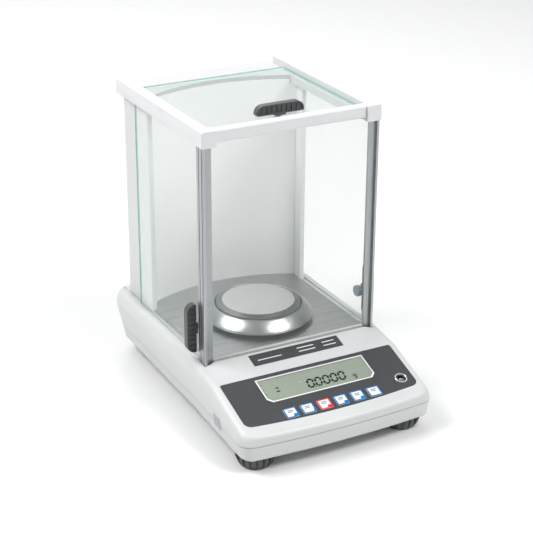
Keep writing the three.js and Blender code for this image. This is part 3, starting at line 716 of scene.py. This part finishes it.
def frame_band(name, outer, inner, low, high, matrix):
    """A flat band between two outlines with the same number of points."""
    count = len(outer)
    points = [(a, b, t) for t in (low, high) for a, b in (*outer, *inner)]
    faces = []
    for i in range(count):
        j = (i + 1) % count
        for a, b in ((0, count), (3 * count, 2 * count)):
            faces.append((a + i, a + j, b + j, b + i))
        faces.append((i, j, 2 * count + j, 2 * count + i))
        faces.append((count + i, count + j, 3 * count + j, 3 * count + i))
    return new_piece(name, [matrix @ Vector(p) for p in points], faces)


def make_overlay():
    foil = prism("control_foil", overlay_outline(0), "z", -0.5, 0.05, PANEL)
    cutters = [
        prism("window_hole", lcd_outline(GAP), "z", -5, 5, PANEL),
        prism("level_hole", circle(LEVEL_X, LEVEL_ALONG, 7.0), "z", -5, 5, PANEL),
    ]
    cutters += [prism("key_hole", key_outline(x, GAP), "z", -5, 5, PANEL) for x in KEY_CENTRES]
    combine(foil, cutters)
    dress(smooth(foil), "base", [FOIL], ["control_overlay"])


SEGMENTS = {
    "a": ((0, 1), (1, 1)), "b": ((1, 1), (1, 0.5)), "c": ((1, 0.5), (1, 0)), "d": ((0, 0), (1, 0)),
    "e": ((0, 0.5), (0, 0)), "f": ((0, 1), (0, 0.5)), "g": ((0, 0.5), (1, 0.5)),
}


def segment_points(start, end, thick, low, high):
    """A hexagonal bar between two points of the display's plane."""
    a, b = Vector(start), Vector(end)
    along = (b - a).normalized()
    across = Vector((-along.y, along.x))
    trim = 0.1 * thick
    a += along * trim
    b -= along * trim
    h = thick / 2
    ring = [a, a + along * h + across * h, b - along * h + across * h, b,
            b - along * h - across * h, a + along * h - across * h]
    return [(p.x, p.y, t) for t in (low, high) for p in ring]


def glyph_bars(bars, low, high, name, material):
    """Prisms with six sides each, as one piece on the panel."""
    points, faces = [], []
    for start, end, thick in bars:
        base = len(points)
        points += segment_points(start, end, thick, low, high)
        faces.append([base + i for i in range(6)])
        faces.append([base + 11 - i for i in range(6)])
        faces += [[base + i, base + (i + 1) % 6, base + 6 + (i + 1) % 6, base + 6 + i] for i in range(6)]
    obj = new_piece(name, [PANEL @ Vector(p) for p in points], faces)
    return dress(obj, "base", [material])


def digit_bars(lit, x, v, width, height, thick, slant):
    bars = []
    for key in lit:
        (u0, w0), (u1, w1) = SEGMENTS[key]
        start = (x + u0 * width + slant * w0, v + w0 * height)
        end = (x + u1 * width + slant * w1, v + w1 * height)
        bars.append((start, end, thick))
    return bars


def make_display():
    window = prism("display_pane", lcd_outline(-0.05), "z", -0.5, -0.02, PANEL)
    dress(window, "base", [SCREEN_GLASS], ["display_window"])
    face = prism("display_face", lcd_outline(-0.05), "z", -0.76, -0.64, PANEL)
    dress(face, "base", [LCD_FACE])
    border = frame_band("display_border", lcd_outline(1.0), lcd_outline(-0.25), -0.02, 0.12, PANEL)
    dress(border, "base", [PRINT_WHITE])
    width, height, thick, slant = 6.1, 10.6, 2.25, 1.5
    pitch = 9.2
    start = -12.2
    baseline = -30.6
    bars = []
    for i in range(5):
        bars += digit_bars("abcdef", start + pitch * i, baseline, width, height, thick, slant)
    dot = start + width + 1.3
    bars.append(((dot - 1.1, baseline - 0.2), (dot + 1.2, baseline - 0.2), 2.2))
    bars += digit_bars("abcdfg", 40.2, -33.0, 3.0, 5.4, 1.25, 0.5)
    bars.append(((-48.4, -25.2), (-43.4, -25.2), 1.8))
    bars.append(((-47.8, -20.6), (-45.0, -20.6), 1.4))
    bars.append(((-46.0, -20.6), (-43.4, -20.6), 3.0))
    glyph_bars(bars, -0.64, -0.58, "display_digits", LCD_INK)
    ticks = [((-60.8, v), (-58.6, v), 0.5) for v in (-12.5, -19.0, -25.5)]
    glyph_bars(ticks, -0.64, -0.6, "display_ticks", LCD_INK)


def make_key(number, x, accent):
    body = "button_%d" % number
    cap = prism("key_%d_cap" % number, key_outline(x, -0.02), "z", -4, 0.34, PANEL)
    dress(soften(cap, 0.25, 2), body, [KEY_FACE], ["key_%d" % number])
    outer, inner = key_outline(x, -0.1), key_outline(x, -1.4, 0.7)
    border = frame_band("key_%d_border" % number, outer, inner, 0.3, 0.46, PANEL)
    dress(border, body, [accent])
    right = x + KEY_WIDTH / 2 - 0.9
    near = KEY_ALONG - KEY_DEPTH / 2 + 0.9
    left = {2: right - 2.2}.get(number, right - 5.6)
    tag = [(left, near), (right, near), (right, near + 3.6), (left + 1.1, near + 3.6)]
    if number != 6:
        flag = prism("key_%d_tag" % number, tag, "z", 0.3, 0.45, PANEL)
        dress(flag, body, [accent])
    marks = [((x - 3.0, KEY_ALONG + 2.7), (x + 3.4, KEY_ALONG + 2.7), 0.9),
             ((x - 3.6, KEY_ALONG + 0.7), (x + 2.4, KEY_ALONG + 0.7), 0.9)]
    points, faces = [], []
    for start, end, thick in marks:
        base = len(points)
        points += segment_points(start, end, thick, 0.32, 0.42)
        faces.append([base + i for i in range(6)])
        faces.append([base + 11 - i for i in range(6)])
        faces += [[base + i, base + (i + 1) % 6, base + 6 + (i + 1) % 6, base + 6 + i] for i in range(6)]
    mark = new_piece("key_%d_mark" % number, [PANEL @ Vector(p) for p in points], faces)
    dress(mark, body, [KEY_MARK])


def make_level():
    place = PANEL @ Matrix.Translation((LEVEL_X, LEVEL_ALONG, 0))
    bezel = [(5.6, 0.0), (5.6, 0.7), (5.9, 0.95), (6.3, 0.95), (6.65, 0.6), (6.65, -0.45), (5.2, -0.45)]
    ring = turned("level_bezel", bezel, segments=96, matrix=place)
    dress(smooth(ring), "base", [CHROME], ["level_ring"])
    collar = [(4.0, -1.1), (5.15, -0.4), (5.58, 0.1), (5.58, 0.25), (5.1, 0.2), (4.3, -0.1), (4.0, -0.5)]
    cone = turned("level_collar", collar, segments=96, matrix=place)
    dress(smooth(cone), "base", [FOIL])
    top = place @ Vector((0, 0, -1.4))
    vial = turned("level_liquid", [(0, -8), (3.6, -8), (3.75, -7.6), (3.75, -0.5), (3.3, -0.05), (0, 0.1)],
                  centre=top, segments=64)
    dress(smooth(vial, 50), "base", [VIAL_LIQUID], ["level_vial"])
    bubble = turned("level_bubble", [(0, 0.06), (1.3, 0.06), (1.35, 0.14), (0.9, 0.28), (0, 0.34)],
                    centre=top + Vector((0.3, 0.2, 0)), segments=48)
    dress(smooth(bubble, 60), "base", [BUBBLE])


def make_label():
    """A dark plate with a few plain light rules in place of any lettering."""
    plate = prism("label_plate", rounded(-53, 53, 15, 31.3, (0.6,) * 4, 3), "z", -0.3, 0.1, BAND)
    dress(soften(plate, 0.12, 2), "base", [FOIL], ["label_strip"])
    rules = [(-46, -18, 21.5), (2, 22, 25.6), (2, 22, 20.4), (32, 47, 25.6), (32, 47, 20.4)]
    for index, (left, right, along) in enumerate(rules):
        rule = prism("label_rule_%d" % (index + 1), rounded(left, right, along, along + 1.1, (0.3,) * 4, 2),
                     "z", 0.08, 0.16, BAND)
        dress(rule, "base", [PRINT_WHITE])


make_overlay()
make_display()
for index, centre in enumerate(KEY_CENTRES):
    make_key(index + 1, centre, KEY_RED if index == 2 else KEY_BLUE)
make_level()
make_label()

# ------------------------------------------------------------------ chamber


def back_arc(radius, limit, steps=48):
    reach = math.degrees(math.asin(limit / radius))
    return arc(0, BACK_CENTRE_Y, radius, 90 - reach, 90 + reach, steps)


def make_floor():
    half, flat = FLOOR_HIGH.x, FLOOR_HIGH.x - 5
    low, top = FLOOR_LOW.z, FLOOR_HIGH.z
    sheet = 1.2
    fold = [(-half, low), (-half + 1.4, low), (-flat + 0.6, top - sheet), (flat - 0.6, top - sheet),
            (half - 1.4, low), (half, low), (flat + 0.6, top - 0.3), (flat - 0.9, top),
            (-flat + 0.9, top), (-flat - 0.6, top - 0.3)]
    plate = prism("chamber_floor", fold, "y", -60, 130)
    limit = WALL_HIGH.x
    front = POST_LOW.y - GAP
    outline = [(-300, FLOOR_LOW.y), (300, FLOOR_LOW.y), (300, front), (limit, front),
               *back_arc(BACK_RADIUS - GAP, limit), (-limit, front), (-300, front)]
    combine(plate, [prism("floor_outline", outline, "z", 0, 200)], "INTERSECT")
    combine(plate, [prism("stem_hole", circle(0, PAN_Y, 6), "z", 60, 90)])
    dress(soften(plate, 0.3, 2, 40), "base", [BRUSHED], ["floor_plate"])


def make_back_wall():
    limit = WALL_HIGH.x
    outline = back_arc(BACK_RADIUS, limit) + back_arc(BACK_RADIUS + 2, limit)[::-1]
    panel = prism("back_panel", outline, "z", WALL_LOW.z, WALL_HIGH.z)
    corners = [
        box("corner", (side * 96.7 - 13, 80, RAIL_LOW.z - 0.5), (side * 96.7 + 13, 140, 330))
        for side in (-1, 1)
    ]
    combine(panel, corners)
    dress(smooth(panel), "base", [BACK_PAINT], ["back_wall_panel"])


def make_post(side, name):
    inner, outer = POST_LOW.x, POST_HIGH.x
    front, rear = POST_LOW.y, POST_HIGH.y
    outline = [(inner, front + 0.6), (inner + 0.6, front), (outer - 0.6, front), (outer, front + 0.6)]
    flutes = 6
    pitch = (rear - front) / flutes
    for i in range(flutes):
        y = front + pitch * (i + 0.5)
        outline += [(outer, y - 0.7), (outer - 0.55, y - 0.4), (outer - 0.55, y + 0.4), (outer, y + 0.7)]
    outline += [(outer, rear), (inner, rear)]
    outline = [(side * x, y) for x, y in outline]
    post = prism("fluted_post_" + name, outline, "z", POST_LOW.z, POST_HIGH.z)
    dress(soften(post, 0.15, 2), "base", [POST_PAINT], ["corner_post_" + name])


def tower_outline(inset, steps=16):
    half = TOWER_HIGH.x - inset
    rear = TOWER_HIGH.y - inset
    r = 20 - inset
    return [(half, TOWER_LOW.y), *arc(half - r, rear - r, r, 0, 90, steps),
            *arc(-half + r, rear - r, r, 90, 180, steps), (-half, TOWER_LOW.y)]


def make_tower():
    outline = tower_outline(0) + tower_outline(WALL)[::-1]
    tower = prism("tower_shell", outline, "z", TOWER_LOW.z, TOWER_HIGH.z)
    dress(soften(tower, 0.5, 3, 40), "base", [WHITE], ["rear_housing"])


def make_cover():
    def slab(name, inset, low, high):
        outline = back_arc(BACK_RADIUS, 110, 64) + tower_outline(inset)[1:-1][::-1]
        whole = prism(name, outline, "z", low, high)
        half = COVER_HIGH.x - inset
        return combine(whole, [box("trim", (-half, 90, low - 1), (half, 200, high + 1))], "INTERSECT")

    cover = slab("tower_cover", 0, COVER_LOW.z, COVER_HIGH.z)
    inner = slab("cover_hollow", 3, COVER_LOW.z - 8, COVER_HIGH.z - 4)
    combine(cover, [inner, box("front_hollow", (-300, 80, COVER_LOW.z - 8), (300, 124, COVER_HIGH.z - 4))])
    dress(soften(cover, 0.6, 3, 40), "base", [COVER_PAINT], ["rear_top_cover"])


def make_pan():
    edge = PAN_HIGH.x
    disc = edge - 7.1
    top = PAN_HIGH.z
    bevel = [(edge - 0.9, top - 3.3), (edge - 0.25, top - 3.2), (edge, top - 2.75), (edge - 0.2, top - 2.35)]
    cone = smooth_path([(edge - 0.9, top - 2.05), (edge - 3.0, top - 1.35), (disc + 1.4, top - 0.35),
                        (disc + 0.5, top - 0.08)], 5)
    profile = [(0, 94), (4.3, 94), (4.3, PAN_LOW.z), (9, PAN_LOW.z), (9, top - 1.6), (disc - 0.4, top - 1.6),
               *bevel, *cone, (disc, top), (disc - 0.8, top), (0, top)]
    pan = turned("pan_dish", profile, (0, PAN_Y, 0), 160)
    smooth(pan, 38)
    dress(pan, "pan", [PAN_BEVEL_PAINTED_REFLECTION, PAN_TOP], ["weighing_pan"])
    # Faces of the flat disc take the light brushed steel. Every other face takes the darkened steel, a
    # painted dark reflection.
    for face in pan.data.polygons:
        reach = math.hypot(face.center.x, face.center.y - PAN_Y * MM) / MM
        face.material_index = 1 if reach < disc - 0.3 and face.normal.z > 0.9 else 0


def make_ring():
    outer = smooth_path([(47.95, 94.68), (49.2, 94.2), (51.0, 92.8), (54.6, 89.6), (57.6, 86.2), (59.3, 84.0),
                         (59.68, 82.9), (58.9, 81.7), (56.0, 80.9), (53.5, 80.3), (51.2, 79.2),
                         (50.2, FLOOR_HIGH.z + GAP)], 6)
    inner = smooth_path([(48.6, FLOOR_HIGH.z + GAP), (48.6, 79.3), (52.3, 81.7), (57.2, 83.1), (55.6, 86.0),
                         (51.4, 90.2), (47.65, 93.5)], 4)
    profile = [*outer, *inner, (47.6, 94.3)]
    ring = turned("flared_ring", profile, (0, PAN_Y, 0), 160)
    dress(smooth(ring, 40), "ring", [POLISHED], ["draft_ring"])


make_floor()
make_back_wall()
make_post(-1, "left")
make_post(1, "right")
make_tower()
make_cover()
make_pan()
make_ring()

# ------------------------------------------------------------------ frame and panes


def make_column(side, name):
    lip = [(97.8, -59), (99.4, -59), (100.2, -58.8), (100.8, -58.2), (101, -57.4)]
    outline = [(90, -53), (90, -55.7), (96.3, -55.7), (96.3, -54.4), (97.8, -54.4), *lip]
    for y in (-56.6, -50.0):
        outline += [(101, y - 0.7), (99.6, y - 0.5), (99.6, y + 0.5), (101, y + 0.7)]
    outline += [(101, -45), (98.5, -45), (98.5, -53)]
    outline = [(side * x, y) for x, y in outline]
    column = prism("frame_column_" + name, outline, "z", COLUMN_LOW.z, COLUMN_HIGH.z)
    dress(soften(column, 0.18, 2), "base", [ALUMINIUM], ["column_" + name])


def make_rail(side, name):
    inner, outer = RAIL_LOW.x, RAIL_HIGH.x
    low, high = RAIL_LOW.z, RAIL_HIGH.z
    ledge = TOP_LOW.z - GAP
    section = [(inner, low), (outer - 0.8, low), (outer, low + 0.8),
               *arc(outer - 2.5, high - 2.5, 2.5, 0, 90, 8), *arc(90.5, high - 1, 1, 90, 180, 5),
               (89.5, ledge), (inner, ledge)]
    section = [(side * x, z) for x, z in section]
    head = -47.2
    rail = prism("top_rail_" + name, section, "y", head, RAIL_HIGH.y)
    nose = [(side * x, z) for x, z in rounded(86, outer, low, high, (0.8, 0.8, 2.5, 1.0), 8)]
    combine(rail, [prism("nose", nose, "y", RAIL_LOW.y, head + 0.5)], "UNION")
    xs = sorted((side * (GLASS_LOW.x - GAP), side * (GLASS_HIGH.x + GAP)))
    combine(rail, [box("slot", (xs[0], -44.9, 300), (xs[1], 160, 311))])
    dress(soften(rail, 0.9, 3, 50), "base", [FRAME_PAINT], ["rail_" + name])


def make_bar():
    low, high = BAR_LOW, BAR_HIGH
    section = rounded(low.y, high.y, low.z, high.z, (0.8, 0.8, 1.0, 2.5), 8)
    bar = prism("front_crossbar", section, "x", low.x, high.x)
    dress(soften(bar, 0.3, 2, 50), "base", [FRAME_PAINT], ["front_bar"])


def glaze(pane, green_axes, body, node):
    """Grinds a pane's edges and gives the ones that stay in sight the green of thick glass."""
    soften(pane, 0.8, 2, 40)
    bake(pane)
    dress(pane, body, [GLASS, GLASS_EDGE], [node])
    for face in pane.data.polygons:
        flat = any(abs(face.normal[axis]) > 0.98 for axis in green_axes)
        face.material_index = 1 if flat else 0


HANDLE_Z = 109.0
HANDLE_SIDE_Y = -37.25
HANDLE_TOP_Y = -27.75
HOLE = 2.6


def make_front_glass():
    half, step, low, high = FRONT_HIGH.x, BAR_HIGH.x, FRONT_LOW.z, FRONT_HIGH.z
    shoulder = COLUMN_HIGH.z
    outline = [(-half, low), (half, low), (half, shoulder), (step, shoulder), (step, high), (-step, high),
               (-step, shoulder), (-half, shoulder)]
    glaze(prism("front_pane", outline, "y", FRONT_LOW.y, FRONT_HIGH.y), (), "base", "front_glass")


def make_side_glass(name):
    low, high = span("door_glass_" + name)
    pane = box("side_pane_" + name, low, high)
    combine(pane, [prism("bolt_hole", circle(HANDLE_SIDE_Y, HANDLE_Z, HOLE), "x", low.x - 5, high.x + 5)])
    glaze(pane, (1,), "door_" + name, "door_glass_" + name)


def make_top_glass():
    pane = box("top_pane", TOP_LOW, TOP_HIGH)
    combine(pane, [prism("bolt_hole", circle(0, HANDLE_TOP_Y, HOLE), "z", 300, 340)])
    glaze(pane, (0, 1), "door_top", "door_glass_top")


for side, name in ((-1, "left"), (1, "right")):
    make_column(side, name)
    make_rail(side, name)
    make_side_glass(name)
make_bar()
make_front_glass()
make_top_glass()

# ------------------------------------------------------------------ handles


def make_handle(name, matrix):
    """A ribbed grip outside the pane and its round knob inside."""
    half, reach, foot, thick, corner = 27.0, 12.5, 2.0, 7.5, 8.6
    front = -thick / 2
    grip = prism("grip_" + name, rounded(-half, half, foot, reach, (1.5, 1.5, corner, corner), 12),
                 "y", front, -front, matrix)
    neck = box("neck", (-6, front + 0.01, 0.3), (6, -front - 0.01, foot + 1), matrix)
    combine(grip, [neck], "UNION")
    rim = 1.5
    radii = (0.4, 0.4, corner - 1.8, corner - 1.8)
    hollow = rounded(-half + rim, half - rim, foot + rim, reach - rim, radii, 10)
    combine(grip, [prism("hollow", hollow, "y", front - 1, front + 1.2, matrix)])
    body = "door_" + name
    dress(soften(grip, 0.5, 3, 35), body, [GRIP], ["door_handle_" + name])
    ribs = []
    for i in range(8):
        x = (i - 3.5) * 5.6
        inset = 3.2 if i in (0, 7) else rim - 0.2
        outline = rounded(x - 1.1, x + 1.1, foot + rim - 0.2, reach - inset, (0.2,) * 4, 3)
        ribs.append(prism("rib", outline, "y", front + 0.2, front + 1.4, matrix))
    first, *others = ribs
    first.name = "grip_ribs_" + name
    combine(first, others, "UNION")
    dress(soften(first, 0.35, 3, 35), body, [GRIP])
    start, radius, length, stud = -3.3, 6.25, 5.0, 2.2
    end = start - length
    profile = [(0, end), (radius - 1.4, end), *arc(radius - 1.2, end + 1.2, 1.2, 270, 360, 6),
               (radius, start - 0.4), (radius - 0.4, start), (stud, start), (stud, -0.3), (0, -0.3)]
    knob = turned("knob_" + name, profile, segments=64, matrix=matrix)
    dress(smooth(knob, 40), body, [KNOB_PLASTIC], ["handle_knob_" + name])


def turned_about_y(place, degrees):
    return Matrix.Translation(place) @ Matrix.Rotation(math.radians(degrees), 4, "Y")


make_handle("left", turned_about_y((-GLASS_HIGH.x, HANDLE_SIDE_Y, HANDLE_Z), -90))
make_handle("right", turned_about_y((GLASS_HIGH.x, HANDLE_SIDE_Y, HANDLE_Z), 90))
make_handle("top", turned_about_y((0, HANDLE_TOP_Y, TOP_HIGH.z), 0))

# ------------------------------------------------------------------ feet and sockets


def make_wheel(name):
    """A levelling wheel with sixteen dark fins around a tapered drum."""
    low, high = span("foot_wheel_" + name)
    x, y = (low.x + high.x) / 2, (low.y + high.y) / 2
    radius, top = (high.x - low.x) / 2, high.z
    rim = radius - 1.7
    side = smooth_path([(rim - 3.3, 0.3), (rim - 1.6, 3), (rim - 0.4, 6.4), (rim, 9.5)], 5)
    profile = [(0, 0), (rim - 4.2, 0), *side, (rim, top - 0.8), (rim - 0.25, top - 0.2), (rim - 0.8, top),
               (4.3, top), (4.3, 3.4), (0, 3.4)]
    drum = turned("wheel_drum_" + name, profile, (x, y, 0), 96)
    dress(smooth(drum, 40), "foot_" + name, [WHEEL_PLASTIC], ["foot_wheel_" + name])
    outline = [(rim - 5, 1.2), (rim - 2, 1.2), (rim, 5), (radius, 9.5), (radius, top - 1),
               (radius - 0.6, top - 0.4), (rim - 5, top - 0.4)]
    ribs = 16
    place = Matrix.Translation((x, y, 0))
    fins = [
        prism("fin", outline, "y", -1, 1, place @ Matrix.Rotation(2 * math.pi * i / ribs, 4, "Z"))
        for i in range(ribs)
    ]
    first, *others = fins
    first.name = "wheel_fins_" + name
    merge(first, others)
    dress(soften(first, 0.3, 2, 40), "foot_" + name, [RUBBER])


def make_rear_foot(name):
    low, high = span("rear_foot_" + name)
    x, y = (low.x + high.x) / 2, (low.y + high.y) / 2
    r = (high.x - low.x) / 2
    profile = [(0, 0), (r - 1.6, 0), *arc(r - 1.5, 1.5, 1.5, 280, 360, 5), (r, 15.2), (r - 0.5, 15.7),
               (3, 15.7), (3, high.z), (0, high.z)]
    foot = turned("rubber_foot_" + name, profile, (x, y, 0), 72)
    dress(smooth(foot, 40), "base", [RUBBER], ["rear_foot_" + name])


def make_sockets():
    low, high = span("power_inlet")
    x, z = (low.x + high.x) / 2, (low.z + high.z) / 2
    sleeve = prism("inlet_sleeve", circle(x, z, 5.5), "y", low.y, high.y)
    combine(sleeve, [prism("bore", circle(x, z, 3.6), "y", low.y + 2, 180)])
    dress(soften(sleeve, 0.3, 2, 40), "base", [SOCKET], ["power_inlet"])
    low, high = span("data_port")
    shell = box("port_shell", low, high)
    combine(shell, [box("mouth", (low.x + 3, low.y + 3, low.z + 2.4), (high.x - 3, 180, high.z - 2.4))])
    dress(soften(shell, 0.4, 2, 40), "base", [CAST], ["data_port"])
    low, high = span("socket_panel")
    panel = box("rear_socket_panel", low, high)
    shell_low, shell_high = span("data_port")
    port_low = (shell_low.x - 0.5, 160, shell_low.z - 0.4)
    port_high = (shell_high.x + 0.5, 180, shell_high.z + 0.4)
    inlet_hole = prism("inlet_hole", circle(x, z, 5.8), "y", 160, 180)
    combine(panel, [inlet_hole, box("port_hole", port_low, port_high)])
    dress(soften(panel, 0.4, 2, 40), "base", [FRAME_PAINT], ["socket_panel"])


for name in ("left", "right"):
    make_wheel(name)
    make_rear_foot(name)
make_sockets()

# ------------------------------------------------------------------ carried-over inner nodes
INNER = {
    "pan_support": CAST, "load_cell": CAST, "load_cell_bracket": CAST, "main_board": BOARD,
    "key_board": BOARD, "display_module": SOCKET, "foot_stud_left": CAST, "foot_stud_right": CAST,
}
for node, material in INNER.items():
    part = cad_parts[node]
    part.data.materials.clear()
    part.data.materials.append(material)
